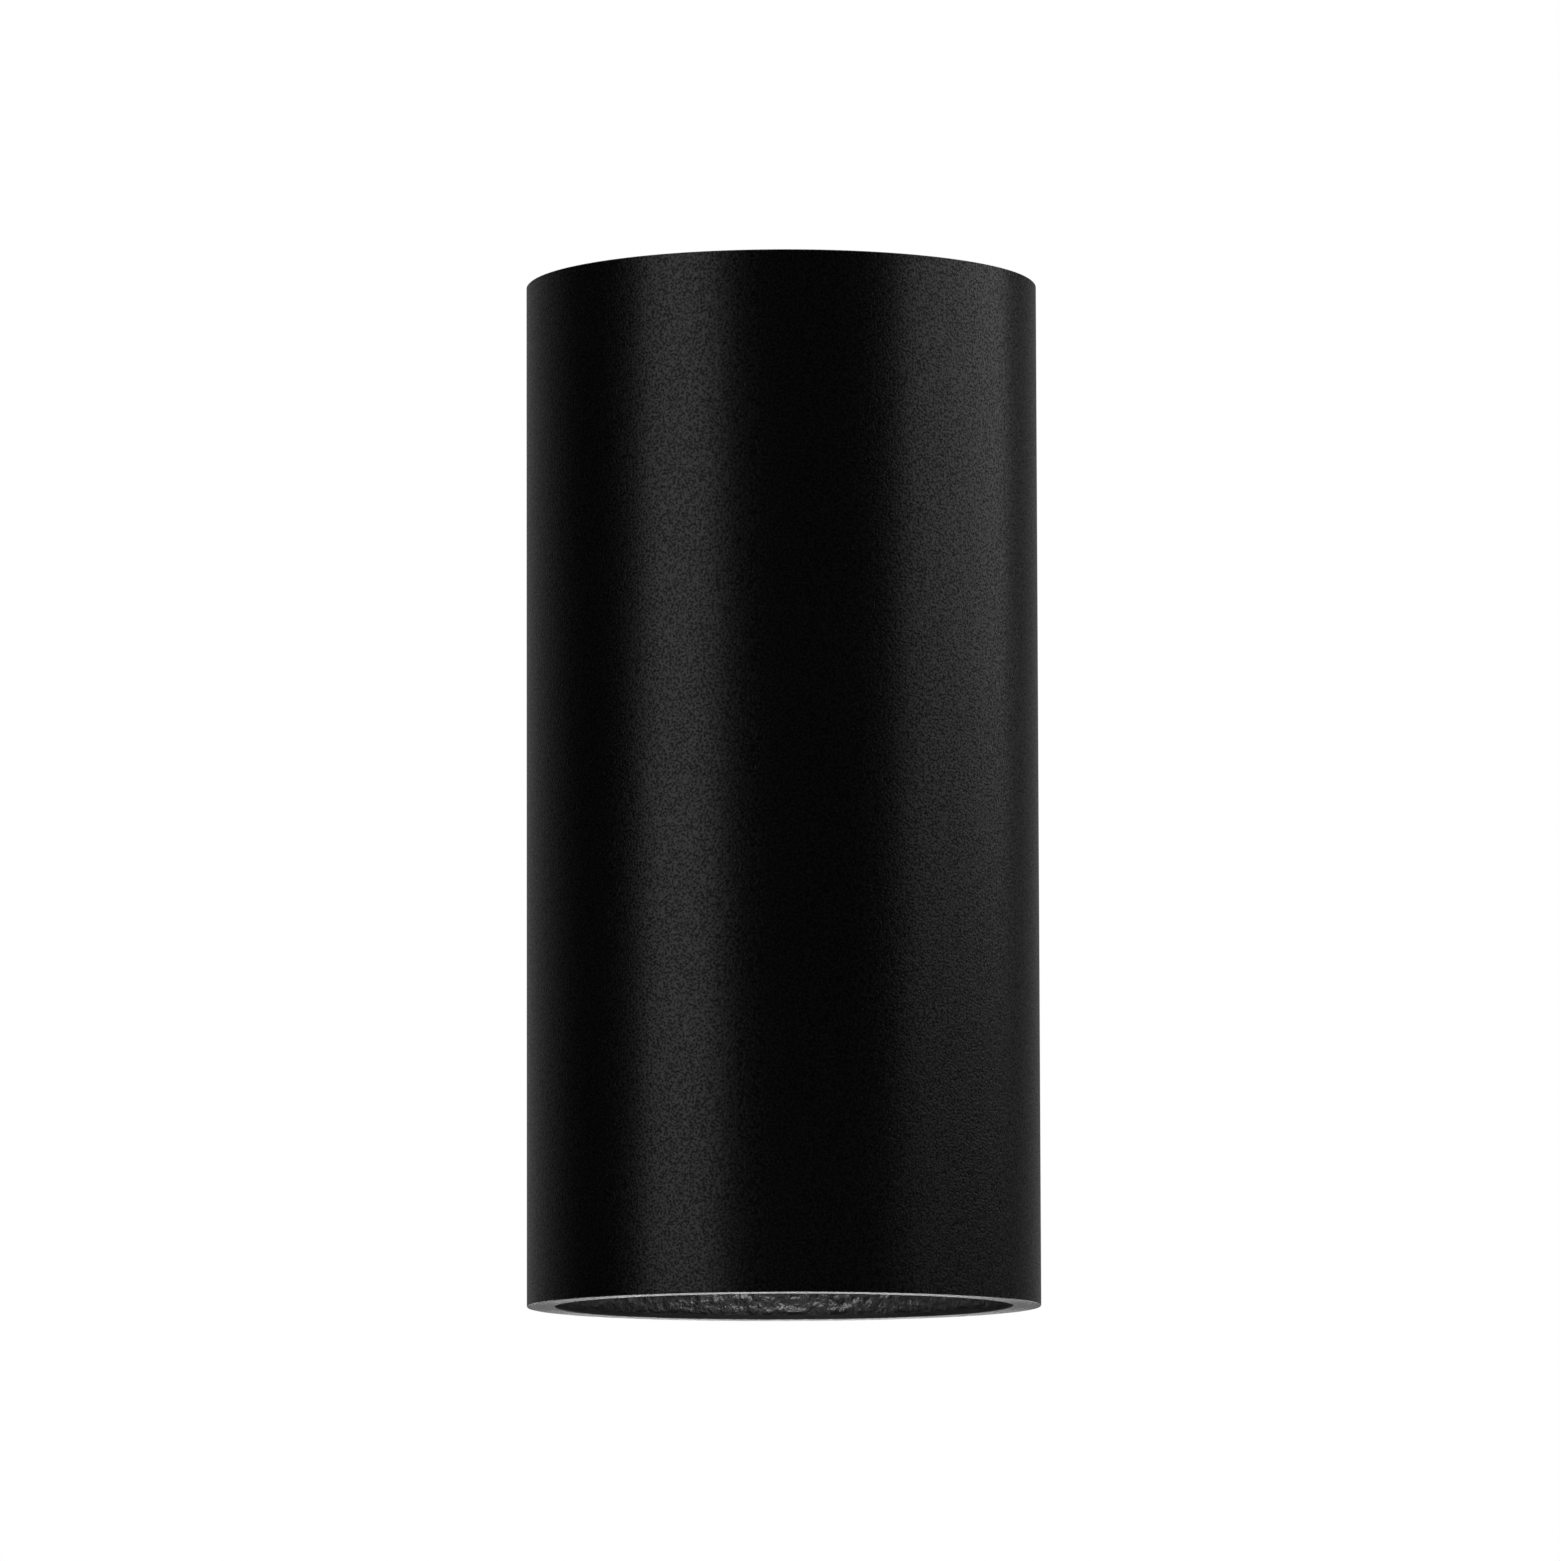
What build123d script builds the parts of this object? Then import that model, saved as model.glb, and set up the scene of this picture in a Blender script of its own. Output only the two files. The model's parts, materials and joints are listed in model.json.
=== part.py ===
from build123d import *
import math
import os

# Tube wall light with a lamp at each end. Millimetres.
# The wall is the plane y = 0 and the room is towards -Y. The origin lies midway between the
# two wall screws. "Depth" is the distance from the wall. In the lamp units "height" is the
# distance from the middle of the tube towards the mouth.

# Tube
TUBE_DIAMETER = 100.0
TUBE_LENGTH = 200.0
TUBE_WALL = 6.5
RIM_WALL = 5.4
MOUTH_DEPTH = 24.0

# Back box, a casting between wall and tube
BOX_WIDTH = 60.0
BOX_HEIGHT = 110.0
BOX_DEPTH = 28.0
BOX_WALL = 3.0
BOX_CORNER_R = 6.0
EAR_LAND = 2.0
SADDLE_CLEAR = 0.1

# Flat pads inside the box
PAD_RISE = 1.0
NUT_PAD = 20.0
BLOCK_PAD_RISE = 4.0
EARTH_PAD = 12.0
EARTH_Z = -28.0

# Hollow stud and its nuts
NIPPLE_DIAMETER = 10.0
NIPPLE_BORE = 8.0
NIPPLE_PROUD = 1.4
NUT_ACROSS_FLATS = 14.0
NUT_THICKNESS = 5.0
HOLE_CLEAR = 0.2
THREAD_CLEAR = 0.05

# Wall bracket
STRAP_WIDTH = 26.0
STRAP_THICKNESS = 2.0
STRAP_BEND_R = 2.0
STRAP_REACH = 14.0
STRAP_END_CLEAR = 0.3
WALL_SCREW_SPACING = 60.0
WALL_SLOT_LENGTH = 14.0
WALL_SLOT_WIDTH = 4.5
CABLE_HOLE_D = 16.0
FIXING_SCREW_D = 4.0
FIXING_SCREW_LENGTH = 12.0
FIXING_SCREW_DEPTH = 8.0

# Lamp bracket and the saddle behind it
SADDLE_WIDTH = 24.0
SADDLE_HEIGHT = 18.0
SADDLE_THICKNESS = 4.0
BRACKET_WIDTH = 36.0
BRACKET_THICKNESS = 2.0
BRACKET_BEND_R = 2.0
BRACKET_SPAN = 28.0
BRACKET_CORNER = 8.0
LEAD_HOLE_D = 13.0

# Lampholder with twist keyholes, and its lamp
HOLDER_LENGTH = 34.0
HOLDER_WIDTH = 17.0
HOLDER_HEIGHT = 15.0
HOLDER_SCREW_SPACING = 24.0
HOLDER_SCREW_D = 3.0
HOLDER_SCREW_GRIP = 6.0
HOLDER_CHAMFER = 4.0
KEY_PLATE = 2.6
PIN_SPACING = 10.0
PIN_NECK_D = 3.1
PIN_HEAD_D = 5.0
PIN_LENGTH = 7.0
PIN_CLEAR = 0.3
PIN_LIFT = 0.2
TWIST = 30.0
CAVITY_WIDTH = 6.0
CAVITY_LENGTH = 9.0
CONTACT_THICKNESS = 0.5
CONTACT_CLEAR = 0.4
CONTACT_EDGE = 0.1
LAMP_GAP = 0.3
LAMP_DIAMETER = 50.0
LAMP_BASE_D = 26.0
LAMP_BASE_HEIGHT = 8.0
LAMP_FLARE_HEIGHT = 23.0
LAMP_HEAD_HEIGHT = 14.0
LENS_DIAMETER = 48.0
LENS_THICKNESS = 1.6

# Glare ring and its leaf springs
RING_CLEAR = 0.4
RING_SEAT_CLEAR = 0.2
RING_HEIGHT = 12.0
RING_LIP = 2.5
RING_STEPS = 3
RING_THROAT = 3.0
APERTURE_CLEAR = 0.75
CLIP_COUNT = 3
CLIP_WIDTH = 5.0
CLIP_THICKNESS = 0.4
CLIP_INSET = 2.2
CLIP_FOOT = 5.0
CLIP_SHANK = 1.0
CLIP_RISE = 4.0
CLIP_CLEAR = 0.25
CLIP_SLOT_CLEAR = 0.05

# Push-in terminal block
POLE_PITCH = 10.0
BLOCK_WIDTH = 20.0
BLOCK_LENGTH = 17.0
BLOCK_HEIGHT = 12.0
BLOCK_Z = 34.5
POLE_HEIGHT = 6.0
ENTRY_WIDTH = 3.0
ENTRY_LENGTH = 4.0
CHAMBER_WIDTH = 6.0
CHAMBER_RISE = 4.6
CHAMBER_CLEAR = 0.1
BAR_THICKNESS = 1.0
SPRING_THICKNESS = 0.4
BLOCK_SCREW_D = 2.5
BLOCK_SCREW_GRIP = 5.0

# Earth terminal
EARTH_SCREW_D = 4.0
EARTH_CLAMP = 9.0
EARTH_CLAMP_THICKNESS = 1.2
EARTH_SCREW_GRIP = 3.0

# Leads
LEAD_D = 1.9
LEAD_SIDES = 8
LEAD_HOLE_CLEAR = 0.2
LEAD_SPREAD = 1.4
LEAD_RUN_IN = 3.0
LEAD_TURN_DEPTH = 9.0
LEAD_TURN_STAGGER = 1.5
LEAD_STACK_CLEAR = 0.1
BLOCK_RUN_IN = 7.0
LEAD_END_SHORT = 0.2
ARC_SHARE = 0.45

# Screw heads, as shares of the thread's diameter
HEAD_WIDTH_RATIO = 1.8
HEAD_HEIGHT_RATIO = 0.6

# Worked out from the sizes above
TUBE_R = TUBE_DIAMETER / 2
BORE_R = TUBE_R - TUBE_WALL
MOUTH_R = TUBE_R - RIM_WALL
TUBE_AXIS_DEPTH = BOX_DEPTH + TUBE_R
SADDLE_R = TUBE_R + SADDLE_CLEAR
NIPPLE_R = NIPPLE_DIAMETER / 2
NIPPLE_HOLE_R = NIPPLE_R + HOLE_CLEAR
FLOOR_DEPTH = BOX_DEPTH - SADDLE_CLEAR - BOX_WALL
NUT_PAD_DEPTH = FLOOR_DEPTH - PAD_RISE
BLOCK_BASE_DEPTH = FLOOR_DEPTH - BLOCK_PAD_RISE
POLE_DEPTH = BLOCK_BASE_DEPTH - POLE_HEIGHT
SADDLE_FACE_DEPTH = TUBE_AXIS_DEPTH - BORE_R + SADDLE_CLEAR + SADDLE_THICKNESS
WEB_FACE_DEPTH = SADDLE_FACE_DEPTH + BRACKET_THICKNESS
CHAMBER_NEAR = POLE_DEPTH - CHAMBER_RISE
CHAMBER_FAR = POLE_DEPTH + LEAD_D + BAR_THICKNESS + 2 * CHAMBER_CLEAR
CHAMBER_LENGTH = BLOCK_LENGTH - 2 * (ENTRY_LENGTH + CHAMBER_CLEAR)
STRAP_SPAN = BOX_HEIGHT - 2 * (BOX_WALL + STRAP_END_CLEAR)
HOLDER_BACK = BRACKET_SPAN / 2
HOLDER_FACE = HOLDER_BACK + HOLDER_HEIGHT
PIN_R = PIN_SPACING / 2
LAMP_SHOULDER = HOLDER_FACE + LAMP_GAP
PIN_END = LAMP_SHOULDER - PIN_LENGTH
PIN_NECK_END = HOLDER_FACE - KEY_PLATE - PIN_LIFT
CONTACT_FACE = PIN_END - CONTACT_CLEAR
CAVITY_FLOOR = CONTACT_FACE - CONTACT_THICKNESS
LAMP_FACE = LAMP_SHOULDER + LAMP_BASE_HEIGHT + LAMP_FLARE_HEIGHT + LAMP_HEAD_HEIGHT
RING_BACK = TUBE_LENGTH / 2 - MOUTH_DEPTH + RING_SEAT_CLEAR
RING_OUTER_R = MOUTH_R - RING_CLEAR
APERTURE_R = LAMP_DIAMETER / 2 + APERTURE_CLEAR
CLIP_R = RING_OUTER_R - CLIP_INSET


def turned(outline):
    """A body turned about the Z axis from (radius, height) corners, mouth side down."""
    corners = [(radius, 0, -height) for radius, height in outline]
    return revolve(make_face(Polyline(*corners, close=True)), Axis.Z)


def at_depth(depth):
    """A plane facing the room, with its X along the wall and its Y upwards."""
    return Plane.XZ.offset(depth)


def slab(sketch, near, far, x=0.0, z=0.0):
    """A sketch carried from one depth to another, further from the wall."""
    return extrude(at_depth(near) * Pos(x, z) * sketch, far - near)


def rod(radius, near, far, x=0.0, z=0.0):
    """A round bar square to the wall."""
    return slab(Circle(radius), near, far, x, z)


def tube_core(radius, length):
    """A cylinder on the tube's axis."""
    return Pos(0, -TUBE_AXIS_DEPTH, 0) * Cylinder(radius, length)


def screw(diameter, length, head):
    """A screw with its head, a flat sketch, above z = 0 and its shank below."""
    return extrude(head, diameter * HEAD_HEIGHT_RATIO) + extrude(Circle(diameter / 2), -length)


def round_head(diameter):
    """A cheese head's outline."""
    return Circle(diameter / 2 * HEAD_WIDTH_RATIO)


def hexagon_head(diameter):
    """A hexagon head's outline."""
    return RegularPolygon(diameter / 2 * HEAD_WIDTH_RATIO, 6, major_radius=False)


def bent_strip(span, reach, thickness, bend_r, width):
    """A strip bent into a U: its web on the plane y = 0, both legs pointing into the room."""
    outside = Pos(-reach / 2, 0) * Rectangle(reach, span)
    outside = fillet(outside.vertices().group_by(Axis.X)[-1], bend_r + thickness)
    inside = Pos(-reach / 2 - thickness, 0) * Rectangle(reach, span - 2 * thickness)
    inside = fillet(inside.vertices().group_by(Axis.X)[-1], bend_r)
    return extrude(Plane.YZ * (outside - inside), width / 2, both=True)


def tube_housing():
    """The tube, counterbored at both mouths, with the stud's hole in its back."""
    end = TUBE_LENGTH / 2
    shoulder = end - MOUTH_DEPTH
    lower_half = [(BORE_R, shoulder), (MOUTH_R, shoulder), (MOUTH_R, end), (TUBE_R, end)]
    upper_half = [(radius, -height) for radius, height in reversed(lower_half)]
    tube = Pos(0, -TUBE_AXIS_DEPTH, 0) * turned(lower_half + upper_half)
    return tube - rod(NIPPLE_HOLE_R, 0, TUBE_AXIS_DEPTH)


def back_box():
    """The cast box: open to the wall, its front scooped to the tube, flat pads on its floor."""
    ear_depth = TUBE_AXIS_DEPTH - math.sqrt(SADDLE_R**2 - (BOX_WIDTH / 2 - EAR_LAND) ** 2)
    outline = RectangleRounded(BOX_WIDTH, BOX_HEIGHT, BOX_CORNER_R)
    inner = Rectangle(BOX_WIDTH - 2 * BOX_WALL, BOX_HEIGHT - 2 * BOX_WALL)
    box = slab(outline, 0, ear_depth) - tube_core(SADDLE_R, BOX_HEIGHT * 2)
    box -= slab(inner, 0, ear_depth - BOX_WALL) - tube_core(SADDLE_R + BOX_WALL, BOX_HEIGHT * 2)

    pad_root = FLOOR_DEPTH + BOX_WALL / 2
    box += slab(Rectangle(NUT_PAD, NUT_PAD), NUT_PAD_DEPTH, pad_root)
    box += slab(Rectangle(BLOCK_WIDTH, BLOCK_LENGTH), BLOCK_BASE_DEPTH, pad_root, z=BLOCK_Z)
    box += slab(Rectangle(EARTH_PAD, EARTH_PAD), NUT_PAD_DEPTH, pad_root, z=EARTH_Z)

    box -= rod(NIPPLE_HOLE_R, 0, TUBE_AXIS_DEPTH)
    box -= rod(BLOCK_SCREW_D / 2 + THREAD_CLEAR, 0, BLOCK_BASE_DEPTH + BLOCK_SCREW_GRIP, z=BLOCK_Z)
    box -= rod(EARTH_SCREW_D / 2 + THREAD_CLEAR, 0, NUT_PAD_DEPTH + EARTH_SCREW_GRIP, z=EARTH_Z)
    fixing_hole = Cylinder(FIXING_SCREW_D / 2 + HOLE_CLEAR, BOX_HEIGHT * 2)
    return box - Pos(0, -FIXING_SCREW_DEPTH, 0) * fixing_hole


def wall_bracket():
    """The strap on the wall, with wall-screw slots, a cable hole and a tapped tab at each end."""
    strap = bent_strip(STRAP_SPAN, STRAP_REACH, STRAP_THICKNESS, STRAP_BEND_R, STRAP_WIDTH)
    slot = Rot(0, 0, 90) * SlotOverall(WALL_SLOT_LENGTH, WALL_SLOT_WIDTH)
    for z in (-WALL_SCREW_SPACING / 2, WALL_SCREW_SPACING / 2):
        strap -= slab(slot, 0, STRAP_THICKNESS, z=z)
    strap -= rod(CABLE_HOLE_D / 2, 0, STRAP_THICKNESS)
    tapped = Cylinder(FIXING_SCREW_D / 2 + THREAD_CLEAR, BOX_HEIGHT)
    return strap - Pos(0, -FIXING_SCREW_DEPTH, 0) * tapped


def fixing_screws():
    """The screws that go up and down through the box's ends into the strap's tabs."""
    one = screw(FIXING_SCREW_D, FIXING_SCREW_LENGTH, round_head(FIXING_SCREW_D))
    upper = Pos(0, 0, BOX_HEIGHT / 2) * one
    lower = Rot(180, 0, 0) * upper
    return Pos(0, -FIXING_SCREW_DEPTH, 0) * (Part() + [upper, lower])


def nut(near):
    """A hexagon nut on the stud, its face nearest the wall at the given depth."""
    hexagon = RegularPolygon(NUT_ACROSS_FLATS / 2, 6, major_radius=False)
    return slab(hexagon - Circle(NIPPLE_R + THREAD_CLEAR), near, near + NUT_THICKNESS)


def threaded_nipple():
    """The hollow stud, standing a little proud of both nuts."""
    near = NUT_PAD_DEPTH - NUT_THICKNESS - NIPPLE_PROUD
    far = WEB_FACE_DEPTH + NUT_THICKNESS + NIPPLE_PROUD
    return rod(NIPPLE_R, near, far) - rod(NIPPLE_BORE / 2, near, far)


def saddle_block():
    """The block between the tube's inner curve and the flat bracket."""
    block = slab(Rectangle(SADDLE_WIDTH, SADDLE_HEIGHT), TUBE_AXIS_DEPTH - BORE_R, SADDLE_FACE_DEPTH)
    block &= tube_core(BORE_R - SADDLE_CLEAR, SADDLE_HEIGHT)
    return block - rod(NIPPLE_HOLE_R, 0, TUBE_AXIS_DEPTH)


def lamp_bracket():
    """The U that carries both lampholders, its legs cut off at the corners."""
    reach = TUBE_AXIS_DEPTH + BRACKET_WIDTH / 2 - SADDLE_FACE_DEPTH
    strip = bent_strip(BRACKET_SPAN, reach, BRACKET_THICKNESS, BRACKET_BEND_R, BRACKET_WIDTH)
    plan = Pos(0, -reach / 2) * Rectangle(BRACKET_WIDTH, reach)
    plan = chamfer(plan.vertices().group_by(Axis.Y)[0], BRACKET_CORNER)
    strip &= extrude(plan, BRACKET_SPAN, both=True)
    strip = Pos(0, -SADDLE_FACE_DEPTH, 0) * strip
    strip -= tube_core(LEAD_HOLE_D / 2, BRACKET_SPAN * 2)
    for x in (-HOLDER_SCREW_SPACING / 2, HOLDER_SCREW_SPACING / 2):
        strip -= Pos(x, 0, 0) * tube_core(HOLDER_SCREW_D / 2 + HOLE_CLEAR, BRACKET_SPAN * 2)
    return strip - rod(NIPPLE_HOLE_R, 0, TUBE_AXIS_DEPTH)


def key_arc(width):
    """The arc that a pin follows from its way in to its locked place, as a slot."""
    return SlotArc(CenterArc((0, 0), PIN_R, -TWIST / 2, TWIST), width)


def raised(sketch, low, high):
    """A sketch carried between two heights of a lamp unit, which hangs mouth down."""
    return extrude(Pos(0, 0, -high) * sketch, high - low)


def lampholder():
    """The ceramic holder: two keyholes, the cavities behind them, lead and screw holes."""
    outline = Rectangle(HOLDER_LENGTH, HOLDER_WIDTH)
    holder = raised(chamfer(outline.vertices(), HOLDER_CHAMFER), HOLDER_BACK, HOLDER_FACE)
    way_in = Rot(0, 0, -TWIST / 2) * Pos(PIN_R, 0) * Circle(PIN_HEAD_D / 2 + PIN_CLEAR)
    keyhole = way_in + key_arc(PIN_NECK_D + 2 * PIN_CLEAR)
    cavity = Pos(PIN_R, 0) * Rectangle(CAVITY_WIDTH, CAVITY_LENGTH)
    lead_hole = Pos(PIN_R, 0) * Rectangle(LEAD_D + 2 * LEAD_HOLE_CLEAR, LEAD_D + 2 * LEAD_HOLE_CLEAR)
    key = raised(keyhole, HOLDER_FACE - KEY_PLATE, HOLDER_FACE)
    key += raised(cavity, CAVITY_FLOOR, HOLDER_FACE - KEY_PLATE)
    key += raised(lead_hole, HOLDER_BACK, CAVITY_FLOOR)
    holder -= key
    holder -= Rot(0, 0, 180) * key
    tapped = Circle(HOLDER_SCREW_D / 2 + THREAD_CLEAR)
    for x in (-HOLDER_SCREW_SPACING / 2, HOLDER_SCREW_SPACING / 2):
        holder -= raised(Pos(x, 0) * tapped, HOLDER_BACK, HOLDER_BACK + HOLDER_SCREW_GRIP)
    return holder


def holder_contacts():
    """The two contact plates that lie on the floors of the holder's cavities."""
    plate = Rectangle(CAVITY_WIDTH - 2 * CONTACT_EDGE, CAVITY_LENGTH - 2 * CONTACT_EDGE)
    plate = raised(Pos(PIN_R, 0) * plate, CAVITY_FLOOR, CONTACT_FACE)
    return Part() + [plate, Rot(0, 0, 180) * plate]


def holder_screws():
    """The screws that go through the flange into the back of one holder."""
    length = BRACKET_THICKNESS + HOLDER_SCREW_GRIP
    one = screw(HOLDER_SCREW_D, length, hexagon_head(HOLDER_SCREW_D))
    one = Pos(0, 0, BRACKET_THICKNESS - HOLDER_BACK) * one
    return Part() + [Pos(x, 0, 0) * one for x in (-HOLDER_SCREW_SPACING / 2, HOLDER_SCREW_SPACING / 2)]


def lamp_body():
    """The lamp's body: a plain base, a flare and a straight head."""
    base_r, head_r = LAMP_BASE_D / 2, LAMP_DIAMETER / 2
    flare = LAMP_SHOULDER + LAMP_BASE_HEIGHT
    head = flare + LAMP_FLARE_HEIGHT
    back = [(0, LAMP_SHOULDER), (base_r, LAMP_SHOULDER), (base_r, flare)]
    return turned(back + [(head_r, head), (head_r, LAMP_FACE), (0, LAMP_FACE)])


def lamp_lens():
    """The lens that closes the lamp's head."""
    radius, front = LENS_DIAMETER / 2, LAMP_FACE + LENS_THICKNESS
    return turned([(0, LAMP_FACE), (radius, LAMP_FACE), (radius, front), (0, front)])


def lamp_pins():
    """The two headed pins, standing in the locked end of their keyholes."""
    neck, head = PIN_NECK_D / 2, PIN_HEAD_D / 2
    neck_top, tip = PIN_NECK_END, PIN_END
    shank = [(0, LAMP_SHOULDER), (neck, LAMP_SHOULDER), (neck, neck_top)]
    pin = Pos(PIN_R, 0, 0) * turned(shank + [(head, neck_top), (head, tip), (0, tip)])
    return Part() + [Rot(0, 0, angle) * pin for angle in (TWIST / 2, TWIST / 2 + 180)]


def glare_ring():
    """The stepped ring, its treads going down from the lip to the aperture."""
    front = RING_BACK + RING_HEIGHT
    lip_r = RING_OUTER_R - RING_LIP
    tread = (lip_r - APERTURE_R) / RING_STEPS
    riser = (RING_HEIGHT - RING_THROAT) / RING_STEPS
    outline = [(RING_OUTER_R, RING_BACK), (RING_OUTER_R, front)]
    for step in range(RING_STEPS):
        radius, low = lip_r - step * tread, front - (step + 1) * riser
        outline += [(radius, low + riser), (radius, low)]
    outline += [(APERTURE_R, RING_BACK + RING_THROAT), (APERTURE_R, RING_BACK)]
    ring = turned(outline)

    slot = Box(CLIP_THICKNESS + 2 * CLIP_SLOT_CLEAR, CLIP_WIDTH + 2 * CLIP_SLOT_CLEAR, CLIP_FOOT)
    slot = Pos(CLIP_R, 0, -RING_BACK - CLIP_FOOT / 2) * slot
    for turn in range(CLIP_COUNT):
        ring -= Rot(0, 0, turn * 360 / CLIP_COUNT) * slot
    return ring


def ring_clips():
    """The leaf springs let into the back of the ring, each bulging out to the tube's bore."""
    half, half_width = CLIP_THICKNESS / 2, CLIP_WIDTH / 2
    bulge_r = math.sqrt((BORE_R - CLIP_CLEAR) ** 2 - half_width**2) - half
    foot = RING_BACK + CLIP_FOOT - CLIP_SLOT_CLEAR
    bend = RING_BACK - CLIP_SHANK
    line = [(CLIP_R, foot), (CLIP_R, bend), (bulge_r, bend - CLIP_RISE), (CLIP_R, bend - 2 * CLIP_RISE)]
    outer = [(radius + half, 0, -height) for radius, height in line]
    inner = [(radius - half, 0, -height) for radius, height in reversed(line)]
    leaf = extrude(make_face(Polyline(*outer, *inner, close=True)), half_width, both=True)
    return Part() + [Rot(0, 0, turn * 360 / CLIP_COUNT) * leaf for turn in range(CLIP_COUNT)]


def pole_places():
    """The two poles' places along the wall."""
    return (-POLE_PITCH / 2, POLE_PITCH / 2)


def terminal_block():
    """The moulded block: a chamber for each pole, with an entry at either end of it."""
    top = BLOCK_BASE_DEPTH - BLOCK_HEIGHT
    block = slab(Rectangle(BLOCK_WIDTH, BLOCK_LENGTH), top, BLOCK_BASE_DEPTH, z=BLOCK_Z)
    chamber = Rectangle(CHAMBER_WIDTH, BLOCK_LENGTH - 2 * ENTRY_LENGTH)
    entry = Rectangle(ENTRY_WIDTH, BLOCK_LENGTH)
    for x in pole_places():
        block -= slab(chamber, CHAMBER_NEAR, CHAMBER_FAR, x, BLOCK_Z)
        block -= slab(entry, POLE_DEPTH - ENTRY_WIDTH, POLE_DEPTH + ENTRY_WIDTH, x, BLOCK_Z)
    return block - rod(BLOCK_SCREW_D / 2 + HOLE_CLEAR, top, BLOCK_BASE_DEPTH, z=BLOCK_Z)


def terminal_bars():
    """The flat bars on the chambers' floors, which the leads are pressed against."""
    far = CHAMBER_FAR - CHAMBER_CLEAR
    bar = Rectangle(CHAMBER_WIDTH - 2 * CHAMBER_CLEAR, CHAMBER_LENGTH)
    return Part() + [slab(bar, far - BAR_THICKNESS, far, x, BLOCK_Z) for x in pole_places()]


def terminal_springs():
    """The bowed strips that press the leads on the bars."""
    half = SPRING_THICKNESS / 2
    top = CHAMBER_NEAR + CHAMBER_CLEAR + half
    dip = POLE_DEPTH - LEAD_D - CHAMBER_CLEAR - half
    line = [(top, -CHAMBER_LENGTH / 2), (dip, 0), (top, CHAMBER_LENGTH / 2)]
    wall_side = [(half - depth, z) for depth, z in line]
    lead_side = [(-half - depth, z) for depth, z in reversed(line)]
    profile = Plane.YZ * make_face(Polyline(*wall_side, *lead_side, close=True))
    width = CHAMBER_WIDTH - 2 * CHAMBER_CLEAR
    strip = Pos(0, 0, BLOCK_Z) * extrude(profile, width / 2, both=True)
    return Part() + [Pos(x, 0, 0) * strip for x in pole_places()]


def wall_side_screw(diameter, length, depth, z):
    """A screw driven away from the wall, its head's seat at the given depth."""
    return Pos(0, -depth, z) * Rot(-90, 0, 0) * screw(diameter, length, hexagon_head(diameter))


def block_screw():
    """The screw that holds the terminal block on its pad."""
    length = BLOCK_HEIGHT + BLOCK_SCREW_GRIP
    return wall_side_screw(BLOCK_SCREW_D, length, BLOCK_BASE_DEPTH - BLOCK_HEIGHT, BLOCK_Z)


def earth_clamp():
    """The square plate that presses the earth wire on its pad."""
    plate = Rectangle(EARTH_CLAMP, EARTH_CLAMP) - Circle(EARTH_SCREW_D / 2 + HOLE_CLEAR)
    return slab(plate, NUT_PAD_DEPTH - EARTH_CLAMP_THICKNESS, NUT_PAD_DEPTH, z=EARTH_Z)


def earth_screw():
    """The screw of the earth terminal."""
    length = EARTH_CLAMP_THICKNESS + EARTH_SCREW_GRIP
    return wall_side_screw(EARTH_SCREW_D, length, NUT_PAD_DEPTH - EARTH_CLAMP_THICKNESS, EARTH_Z)


def lead(points):
    """An insulated lead: straight runs joined by the widest arcs that the runs allow."""
    radii = []
    for before, corner, after in zip(points, points[1:], points[2:]):
        run_in, run_out = Vector(corner) - Vector(before), Vector(after) - Vector(corner)
        half_turn = math.radians(run_in.get_angle(run_out)) / 2
        radii.append(ARC_SHARE * min(run_in.length, run_out.length) / math.tan(half_turn))
    route = FilletPolyline(*points, radius=radii)
    start = Plane(origin=points[0], z_dir=Vector(points[1]) - Vector(points[0]))
    section = RegularPolygon(LEAD_D / 2, LEAD_SIDES)
    tube = sweep(start * section, path=route)
    ratio = tube.volume / (section.area * route.length)
    print("lead radii", [round(radius, 1) for radius in radii], "volume ratio", round(ratio, 4))
    return tube


def lead_route(x_side, z_side):
    """A lead's corners, from its contact through the stud to the terminal block."""
    contact_x, block_x = x_side * PIN_R, x_side * POLE_PITCH / 2
    in_stud_x, in_stud_z = x_side * LEAD_SPREAD, z_side * LEAD_SPREAD
    run_in_depth = WEB_FACE_DEPTH + NUT_THICKNESS + NIPPLE_PROUD + LEAD_RUN_IN
    turn_depth = LEAD_TURN_DEPTH + z_side * LEAD_TURN_STAGGER
    block_depth = POLE_DEPTH + z_side * (LEAD_D + LEAD_STACK_CLEAR) / 2
    return [
        (contact_x, -TUBE_AXIS_DEPTH, z_side * CAVITY_FLOOR),
        (contact_x, -TUBE_AXIS_DEPTH, in_stud_z),
        (in_stud_x, -run_in_depth, in_stud_z),
        (in_stud_x, -turn_depth, in_stud_z),
        (block_x, -block_depth, BLOCK_Z - BLOCK_LENGTH / 2 - BLOCK_RUN_IN),
        (block_x, -block_depth, BLOCK_Z - LEAD_END_SHORT),
    ]


def leads():
    """A live and a neutral lead for each lamp, one lamp's stacked on the other's in the block."""
    made = {}
    for lamp, z_side in (("lower", -1), ("upper", 1)):
        for pole, x_side in (("live", 1), ("neutral", -1)):
            made[f"{lamp}_{pole}_lead"] = lead(lead_route(x_side, z_side))
    return made


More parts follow.
